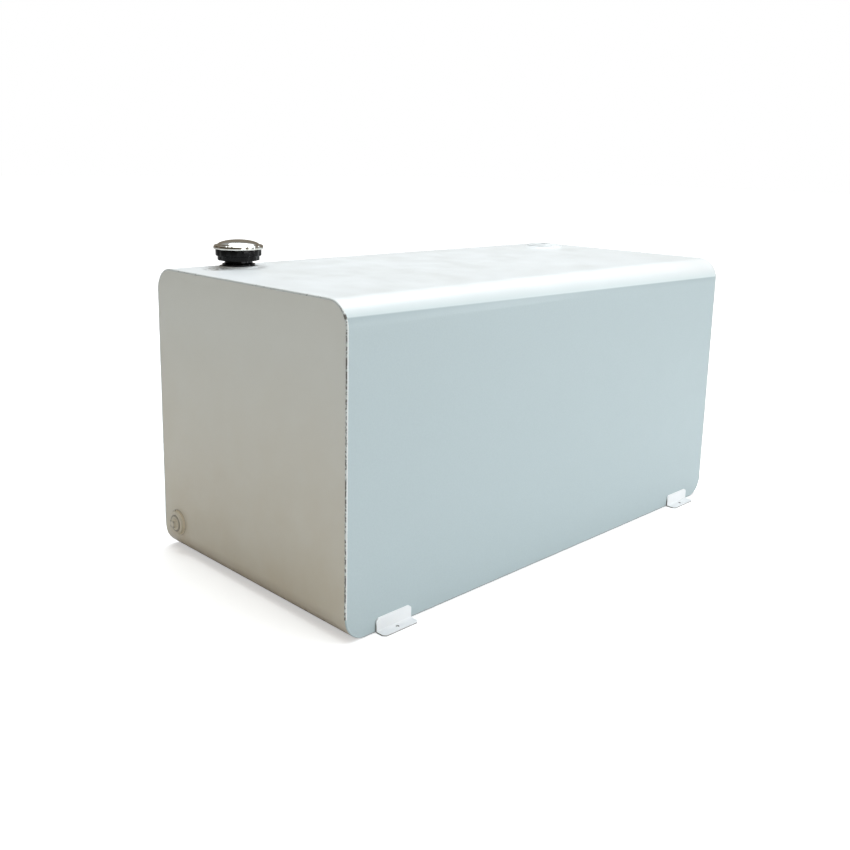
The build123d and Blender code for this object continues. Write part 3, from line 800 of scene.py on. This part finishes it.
def foot_weld_beads():
    """A small, nearly smooth weld along the top edge of each foot."""
    low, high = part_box("foot_welds")
    leg = high.z - low.z
    section = [(math.cos(a), math.sin(a)) for a in (math.pi / 2 * k / 4 for k in range(5))]
    section.append((0.0, 0.0))
    around = len(section)
    points, faces = [], []
    for node in FOOT_NODES:
        foot_low, foot_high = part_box(node)
        outward = -1 if foot_low.y < 0 else 1
        start = foot_low.x + FOOT_WELD_SHORT / 2
        length = foot_high.x - foot_low.x - FOOT_WELD_SHORT
        first = len(points)
        for i in range(FOOT_WELD_ROWS + 1):
            t = i / FOOT_WELD_ROWS
            end_fade = math.sqrt(max(0.04, 1 - (2 * t - 1) ** 24))
            size = leg * end_fade * (0.92 + 0.06 * abs(math.sin(math.pi * t * FOOT_WELD_RIPPLES)))
            for out, up in section:
                points.append((start + length * t, outward * (HALF_DEPTH + size * out), low.z + size * up))
        for i in range(FOOT_WELD_ROWS):
            a, b = first + i * around, first + (i + 1) * around
            faces += [[a + k, b + k, b + (k + 1) % around, a + (k + 1) % around] for k in range(around)]
        faces += [list(range(first, first + around)), list(range(len(points) - around, len(points)))]
    return add_piece("foot_weld_beads", points, faces, "tank", FOOT_COAT, "white_coat", ["foot_welds"])


# ---- filler ----

CAP_PITCH = 6 * MM
NECK_RADIUS = 29 * MM
NECK_BORE = 23 * MM
NECK_FLARE = 2 * MM
NECK_FLANGE = 3.5 * MM
SPUD_RADIUS = 29.5 * MM
THREAD_DEPTH = 1.3 * MM
FILLER_BORE = 29.8 * MM
FILLER_SPIGOT = 34 * MM
CAP_LOWER_RADIUS = 44 * MM
CAP_STEP = 24.3 * MM
CAP_BORE = 29.3 * MM
CAP_CAVITY = 31 * MM
GRIPS = 12
COVER_LOBES = 10
LOBE_DEPTH = 1.6 * MM


def form_outside(form, least):
    """Applies a thread form only outside a radius, so that a bore stays plain."""
    return lambda radius, height, turn: form(radius, height, turn) if radius > least else radius


def form_inside(form, most):
    """Applies a thread form only inside a radius, so that an outer wall stays plain."""
    return lambda radius, height, turn: form(radius, height, turn) if radius < most else radius


def filler_flange():
    """Weld flange on the tank top that the neck screws into."""
    low, high = above_top("filler_bung")
    radius = half_width("filler_bung")
    outline = softened(
        [
            (FILLER_BORE, low),
            (FILLER_SPIGOT, low),
            (FILLER_SPIGOT, -0.1 * MM),
            (radius, 0.0),
            (radius, high),
            (FILLER_BORE, high),
        ],
        1.2 * MM,
    )
    shape = lathe(outline, 96)
    add_piece("filler_flange", *placed(shape, FILLER_PLACE), "tank", COAT, "white_coat", ["filler_bung"])


def filler_neck():
    foot_z, top = above_top("filler_neck")
    seat = above_top("neck_gasket")[1]
    flange = half_width("filler_neck")
    flange_top = seat + NECK_FLANGE
    thread_low, thread_high = flange_top + 7 * MM, top - 1 * MM
    outline = softened(
        [
            (NECK_BORE, foot_z),
            (SPUD_RADIUS, foot_z),
            (SPUD_RADIUS, seat),
            (flange, seat),
            (flange, flange_top - 0.6 * MM),
            (NECK_RADIUS + NECK_FLARE, flange_top),
            (NECK_RADIUS, flange_top + NECK_FLARE),
            (NECK_RADIUS, thread_low),
        ],
        0.7 * MM,
    )[:-4]
    outline += thread_steps(NECK_RADIUS, thread_low, thread_high, CAP_PITCH)
    outline += [
        (NECK_RADIUS - 0.7 * MM, top - 0.3 * MM),
        (NECK_RADIUS - 1.2 * MM, top),
        (NECK_BORE + 0.8 * MM, top),
        (NECK_BORE, top - 0.8 * MM),
    ]
    thread = thread_form(thread_low, thread_high, CAP_PITCH, THREAD_DEPTH)
    shape = lathe(outline, 96, form_outside(thread, NECK_RADIUS - 0.1 * MM))
    shape = placed(shape, FILLER_PLACE)
    add_piece("filler_neck_pipe", *shape, "tank", NECK_BLACK, "black_enamel", ["filler_neck"])


def cap_body():
    """Knob with a stepped skirt, flat grips round both steps and a threaded bore."""
    low, high = above_top("cap_body")
    radius = half_width("cap_body")
    cover_low = above_top("cap_cover")[0]
    clip_low = above_top("plate_clip")[0]
    web = above_top("seal_plate")[1] + 0.3 * MM
    rim = radius - 1.5 * MM
    outline = [(CAP_BORE, low + 1 * MM), (CAP_BORE + 1 * MM, low)]
    outline += softened(
        [
            (CAP_BORE, low),
            (CAP_LOWER_RADIUS, low),
            (CAP_LOWER_RADIUS, CAP_STEP - 0.6 * MM),
            (radius, CAP_STEP),
            (radius, cover_low + 1 * MM),
            (rim, cover_low + 1.5 * MM),
            (rim, high),
        ],
        0.9 * MM,
    )[4:-4]
    outline += [(rim, high), (0.0, high), (0.0, web), (CAP_CAVITY, web)]
    outline += [(CAP_CAVITY, clip_low), (CAP_BORE, clip_low)]
    outline += thread_steps(CAP_BORE, low + 1.2 * MM, clip_low, CAP_PITCH)[::-1][1:]
    thread = thread_form(low + 1.2 * MM, clip_low, CAP_PITCH, 0.9 * MM, outward=False)

    def radius_at(reach, height, turn):
        if reach < CAP_CAVITY - 1 * MM:
            return thread(reach, height, turn)
        if height > cover_low or reach < CAP_LOWER_RADIUS - 2 * MM:
            return reach
        depth = 2.2 * MM if reach > CAP_LOWER_RADIUS + 1 * MM else 1.2 * MM
        wave = 0.5 - 0.5 * math.cos(GRIPS * turn)
        return reach - depth * (1.0 - min(1.0, 2.2 * wave) ** 2)

    shape = placed(lathe(outline, 192, radius_at), FILLER_PLACE)
    add_piece("cap_body_knob", *shape, "filler_cap", CAP_BLACK, "cap_black", ["cap_body"])


def cap_cover():
    """Pressed metal cover: a lobed rolled rim, a shallow groove inside it, and a dome."""
    low, top = above_top("cap_cover")
    body_top = above_top("cap_body")[1] + 0.05 * MM
    rim = half_width("cap_cover")
    inner = half_width("cap_body")
    crown_radius, crown_low = rim - 8.4 * MM, low + 8.9 * MM
    outline = [
        (inner, low + 0.6 * MM),
        (inner + 0.6 * MM, low),
        (rim - 1.6 * MM, low),
        (rim - 0.5 * MM, low + 0.5 * MM),
        (rim, low + 1.7 * MM),
        (rim, low + 4.6 * MM),
        (rim - 0.5 * MM, low + 6.6 * MM),
        (rim - 1.8 * MM, low + 8.0 * MM),
        (rim - 3.6 * MM, low + 8.5 * MM),
        (rim - 5.4 * MM, low + 8.3 * MM),
        (rim - 6.8 * MM, low + 8.2 * MM),
        (crown_radius, crown_low),
    ]
    steps = 14
    for step in range(1, steps):
        swing = math.pi / 2 * step / steps
        rise = (top - crown_low) * math.sin(swing) ** 1.15
        outline.append((crown_radius * math.cos(swing), crown_low + rise))
    outline += [(0.0, top), (0.0, body_top), (inner, body_top)]

    def radius_at(radius, height, turn):
        if radius < rim - 6 * MM or height > crown_low or radius <= inner + 0.1 * MM:
            return radius
        share = min(1.0, (radius - rim + 6 * MM) / (5 * MM))
        wave = 0.5 + 0.5 * math.cos(COVER_LOBES * turn)
        return radius - LOBE_DEPTH * share * wave**3

    shape = placed(lathe(outline, 240, radius_at), FILLER_PLACE)
    add_piece("cap_cover_dome", *shape, "filler_cap", CHROME, "cap_chrome", ["cap_cover"])


# ---- pump port ----

PORT_PITCH = 2.209 * MM
PORT_RADIUS = (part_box("pump_port_flange")[1].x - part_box("pump_port_flange")[0].x) / 2
PORT_FOOT, PORT_HIGH = above_top("pump_port_flange")
PORT_BORE = 30 * MM
PORT_RECESS = 35 * MM
PORT_SPIGOT = 38 * MM
PORT_SOCKET = 24 * MM
PORT_SOCKET_DEPTH = 11 * MM


def pump_port_flange():
    recess_floor = above_top("pump_port_seal")[0]
    outline = softened(
        [
            (PORT_SPIGOT, PORT_FOOT),
            (PORT_SPIGOT, -0.1 * MM),
            (PORT_RADIUS, 0.0),
            (PORT_RADIUS, PORT_HIGH),
            (PORT_RECESS, PORT_HIGH),
            (PORT_RECESS, recess_floor),
            (PORT_BORE, recess_floor),
        ],
        1.1 * MM,
    )[3:]
    thread_high = recess_floor - 0.5 * MM
    outline += thread_steps(PORT_BORE, PORT_FOOT + 0.3 * MM, thread_high, PORT_PITCH)[::-1]
    outline += [(PORT_BORE, PORT_FOOT), (PORT_SPIGOT, PORT_FOOT)]
    thread = thread_form(PORT_FOOT, thread_high, PORT_PITCH, 0.8 * MM, outward=False)
    shape = lathe(outline, 112, form_inside(thread, PORT_BORE + 0.1 * MM))
    add_piece("pump_port_ring", *placed(shape, PORT_PLACE), "tank", COAT, "white_coat", ["pump_port_flange"])


def threaded_plug(top_outline, thread_radius, thread_low, thread_high, pitch, depth, segments):
    """Plug with a thread below a turned head. top_outline runs from the thread's top to the axis."""
    outline = [(0.0, thread_low), (thread_radius - 1.2 * MM, thread_low)]
    outline += thread_steps(thread_radius, thread_low + 0.8 * MM, thread_high, pitch)
    outline += top_outline
    thread = thread_form(thread_low, thread_high, pitch, depth)
    most = thread_radius + 0.01 * MM
    return lathe(outline, segments, form_inside(thread, most))


def square_bar(place, side, low, high):
    """Closed square bar along a place's Z."""
    half = side / 2
    corners = [(-half, -half), (half, -half), (half, half), (-half, half)]
    points = [place @ Vector((x, y, z)) for z in (low, high) for x, y in corners]
    faces = [[3, 2, 1, 0], [4, 5, 6, 7]] + [[i, (i + 1) % 4, 4 + (i + 1) % 4, 4 + i] for i in range(4)]
    return points, faces


def pump_port_plug():
    low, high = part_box("pump_port_plug")
    foot_z, head_top = above_top("pump_port_plug")
    head_low = above_top("pump_port_seal")[1]
    head = (high.x - low.x) / 2
    radius = PORT_BORE - 0.3 * MM
    top = [
        (radius, head_low),
        (head - 0.5 * MM, head_low),
        (head, head_low + 0.5 * MM),
        (head, head_top - 1.0 * MM),
        (head - 0.3 * MM, head_top - 0.3 * MM),
        (head - 1.0 * MM, head_top),
        (head - 6.0 * MM, head_top),
        (head - 7.0 * MM, head_top - 0.8 * MM),
        (head - 10.0 * MM, head_top - 0.8 * MM),
        (head - 11.0 * MM, head_top - 0.1 * MM),
        (0.0, head_top - 0.1 * MM),
    ]
    shape = threaded_plug(top, radius, foot_z, head_low - 0.6 * MM, PORT_PITCH, 0.7 * MM, 112)
    shape = placed(shape, PORT_PLACE)
    plug = add_piece("pump_port_plug_body", *shape, "pump_port_plug", COAT, "white_coat", ["pump_port_plug"])
    socket_low, socket_high = head_top - PORT_SOCKET_DEPTH, head_top + PORT_SOCKET_DEPTH
    cut_away(plug, *square_bar(PORT_PLACE, PORT_SOCKET, socket_low, socket_high))


# ---- drain ----

DRAIN_PITCH = 1.814 * MM
DRAIN_RADIUS = half_width("drain_flange")
DRAIN_BACK, DRAIN_OUT = beyond_end("drain_flange")
DRAIN_BORE = 13.3 * MM
DRAIN_RECESS = 18 * MM
DRAIN_SPIGOT = 20 * MM
DRAIN_COLLAR = 2.5 * MM
DRAIN_SQUARE = 15 * MM


def drain_flange():
    recess_floor = beyond_end("drain_seal")[0]
    outline = softened(
        [
            (DRAIN_SPIGOT, DRAIN_BACK),
            (DRAIN_SPIGOT, -0.1 * MM),
            (DRAIN_RADIUS, 0.0),
            (DRAIN_RADIUS, DRAIN_OUT),
            (DRAIN_RECESS, DRAIN_OUT),
            (DRAIN_RECESS, recess_floor),
            (DRAIN_BORE, recess_floor),
        ],
        1.2 * MM,
    )[3:]
    thread_high = recess_floor - 0.4 * MM
    outline += thread_steps(DRAIN_BORE, DRAIN_BACK + 0.3 * MM, thread_high, DRAIN_PITCH)[::-1]
    outline += [(DRAIN_BORE, DRAIN_BACK), (DRAIN_SPIGOT, DRAIN_BACK)]
    thread = thread_form(DRAIN_BACK, thread_high, DRAIN_PITCH, 0.6 * MM, outward=False)
    shape = lathe(outline, 80, form_inside(thread, DRAIN_BORE + 0.1 * MM))
    add_piece("drain_ring", *placed(shape, DRAIN_PLACE), "tank", LOWER_COAT, "white_coat", ["drain_flange"])


def drain_plug():
    back, front = beyond_end("drain_plug")
    collar_low = beyond_end("drain_seal")[1]
    collar = half_width("drain_plug")
    collar_top = collar_low + DRAIN_COLLAR
    radius = DRAIN_BORE - 0.3 * MM
    top = [
        (radius, collar_low),
        (collar - 0.4 * MM, collar_low),
        (collar, collar_low + 0.4 * MM),
        (collar, collar_top - 0.7 * MM),
        (collar - 0.7 * MM, collar_top),
        (0.0, collar_top),
    ]
    shape = threaded_plug(top, radius, back, collar_low - 0.5 * MM, DRAIN_PITCH, 0.55 * MM, 80)
    half = DRAIN_SQUARE / 2
    rows = [
        (half + 0.8 * MM, collar_top - 0.1 * MM),
        (half, collar_top + 0.8 * MM),
        (half, front - 1.0 * MM),
        (half - 0.4 * MM, front - 0.3 * MM),
        (half - 1.2 * MM, front),
    ]
    shape = joined(placed(shape, DRAIN_PLACE), stacked_squares(rows, 1.4 * MM, DRAIN_PLACE))
    add_piece("drain_plug_body", *shape, "drain_plug", LOWER_COAT, "white_coat", ["drain_plug"])


# ---- studio ----

# The camera stands off the front left corner, a little above the tank's top.
CAMERA_PLACE = Vector((-1.6298, -1.5045, 0.8481))
CAMERA_HEADING = math.radians(44.91)
CAMERA_DOWN = math.radians(11.79)
CAMERA_ROLL = math.radians(1.27)
CAMERA_LENS = 40.86
CAMERA_SHIFT = (0.0038, -0.0764)


def make_camera():
    data = bpy.data.cameras.new("camera")
    data.lens = CAMERA_LENS
    data.sensor_width = 36
    data.shift_x, data.shift_y = CAMERA_SHIFT
    data.clip_end = 60
    camera = bpy.data.objects.new("camera", data)
    bpy.context.scene.collection.objects.link(camera)
    ahead = Vector(
        (
            math.sin(CAMERA_HEADING) * math.cos(CAMERA_DOWN),
            math.cos(CAMERA_HEADING) * math.cos(CAMERA_DOWN),
            -math.sin(CAMERA_DOWN),
        )
    )
    level_right = ahead.cross(Vector((0, 0, 1))).normalized()
    level_up = level_right.cross(ahead)
    right = level_right * math.cos(CAMERA_ROLL) + level_up * math.sin(CAMERA_ROLL)
    up = right.cross(ahead)
    turn = Matrix((right, up, -ahead)).transposed().to_4x4()
    camera.matrix_world = Matrix.Translation(CAMERA_PLACE) @ turn
    bpy.context.scene.camera = camera


def softbox(name, place, aim, size, watts, colour=(1, 1, 1)):
    data = bpy.data.lights.new(name, "AREA")
    data.shape = "RECTANGLE"
    data.size, data.size_y = size
    data.energy = watts
    data.color = colour
    light = bpy.data.objects.new(name, data)
    bpy.context.scene.collection.objects.link(light)
    light.location = place
    light.rotation_mode = "QUATERNION"
    light.rotation_quaternion = (Vector(aim) - Vector(place)).to_track_quat("-Z", "Y")


def make_floor():
    """Pale floor that fades into the white surroundings."""
    size = 30.0
    mesh = bpy.data.meshes.new("floor")
    corners = [(-size, -size, 0), (size, -size, 0), (size, size, 0), (-size, size, 0)]
    mesh.from_pydata(corners, [], [[0, 1, 2, 3]])
    floor = bpy.data.objects.new("floor", mesh)
    bpy.context.scene.collection.objects.link(floor)
    paint = Paint("studio_floor", 0.9)
    shade = paint.mix(paint.spread(paint.noise(0.8, 2.0), 0.3, 0.7), (0.93, 0.93, 0.93), (0.91, 0.91, 0.91))
    glow = paint.spread(paint.distance((0, 0, 0)), 1.0, 3.6, 0.50, 1.0)
    seen = paint.tree.nodes.new("ShaderNodeLightPath").outputs["Is Camera Ray"]
    paint.shader.inputs["Emission Color"].default_value = (1, 1, 1, 1)
    paint.link(paint.math("MULTIPLY", glow, seen), paint.shader.inputs["Emission Strength"])
    mesh.materials.append(paint.finish(shade))


# Colours of the surroundings as the object sees them, from the left to the right: low down, and overhead.
WORLD_LOW = [(0.10, (0.06, 0.044, 0.024)), (0.42, (0.25, 0.20, 0.14)), (0.62, (0.55, 0.58, 0.60))]
WORLD_HIGH = [(0.15, (0.25, 0.225, 0.165)), (0.60, (0.51, 0.55, 0.59))]
WORLD_BEHIND = (0.25, 0.22, 0.18)


def world_ramp(tree, value, stops):
    ramp = tree.nodes.new("ShaderNodeValToRGB")
    while len(ramp.color_ramp.elements) < len(stops):
        ramp.color_ramp.elements.new(0.5)
    for element, (position, colour) in zip(ramp.color_ramp.elements, stops):
        element.position = position
        element.color = (*colour, 1)
    tree.links.new(value, ramp.inputs[0])
    return ramp.outputs[0]


def world_spread(tree, value, low, high):
    node = tree.nodes.new("ShaderNodeMapRange")
    node.inputs["From Min"].default_value = low
    node.inputs["From Max"].default_value = high
    tree.links.new(value, node.inputs["Value"])
    return node.outputs[0]


def world_mix(tree, share, first, second):
    node = tree.nodes.new("ShaderNodeMix")
    node.data_type = "RGBA"
    tree.links.new(share, node.inputs["Factor"])
    tree.links.new(first, node.inputs[6])
    if isinstance(second, tuple):
        node.inputs[7].default_value = (*second, 1)
    else:
        tree.links.new(second, node.inputs[7])
    return node.outputs[2]


def make_world():
    """Seen as white. It lights brightly from overhead, warm and dim from the left, and dim and warm low down
    from behind.
    """
    world = bpy.data.worlds.new("studio")
    bpy.context.scene.world = world
    world.use_nodes = True
    tree = world.node_tree
    tree.nodes.clear()
    split = tree.nodes.new("ShaderNodeSeparateXYZ")
    tree.links.new(tree.nodes.new("ShaderNodeTexCoord").outputs["Generated"], split.inputs[0])
    to_right, to_back, up = split.outputs
    side = world_spread(tree, to_right, -1.0, 1.0)
    away = tree.nodes.new("ShaderNodeMath")
    tree.links.new(to_right, away.inputs[0])
    tree.links.new(to_back, away.inputs[1])
    behind = world_spread(tree, away.outputs[0], 0.3, 0.9)
    low_down = world_mix(tree, behind, world_ramp(tree, side, WORLD_LOW), WORLD_BEHIND)
    climb = world_spread(tree, up, 0.45, 0.80)
    lit = tree.nodes.new("ShaderNodeBackground")
    tree.links.new(world_mix(tree, climb, low_down, world_ramp(tree, side, WORLD_HIGH)), lit.inputs[0])
    seen = tree.nodes.new("ShaderNodeBackground")
    seen.inputs[0].default_value = (1, 1, 1, 1)
    choose = tree.nodes.new("ShaderNodeMixShader")
    tree.links.new(tree.nodes.new("ShaderNodeLightPath").outputs["Is Camera Ray"], choose.inputs[0])
    tree.links.new(lit.outputs[0], choose.inputs[1])
    tree.links.new(seen.outputs[0], choose.inputs[2])
    out = tree.nodes.new("ShaderNodeOutputWorld")
    tree.links.new(choose.outputs[0], out.inputs[0])


def make_studio():
    make_camera()
    make_floor()
    make_world()
    softbox("overhead", (0.3, 0.2, 3.2), (0, 0, 0.3), (3.6, 3.2), 116, (0.92, 0.965, 1.0))
    softbox("front", (0.2, -4.2, 0.75), (0.0, 0, 0.3), (3.0, 1.2), 34, (0.97, 0.99, 1.0))
    softbox("sparkle", (2.4, -2.6, 0.95), (-0.4, 0.2, 0.65), (0.25, 0.8), 16)
    bpy.context.scene.view_settings.view_transform = "Standard"


def make_object():
    paint_cad_nodes()
    for side in (-1, 1):
        end_seam(side)
        bottom_seam(side)
    for node in FOOT_NODES:
        foot(node)
    foot_weld_beads()
    ring_weld("filler_bead", "filler_weld", FILLER_PLACE, half_width("filler_bung"), 2.9 * MM, 3)
    ring_weld("pump_port_bead", "pump_port_weld", PORT_PLACE, PORT_RADIUS, 3.4 * MM, 5)
    ring_weld("drain_bead", "drain_weld", DRAIN_PLACE, DRAIN_RADIUS, 2.9 * MM, 7, DRAIN_WELD)
    filler_flange()
    filler_neck()
    cap_body()
    cap_cover()
    pump_port_flange()
    pump_port_plug()
    drain_flange()
    drain_plug()


make_object()
make_studio()
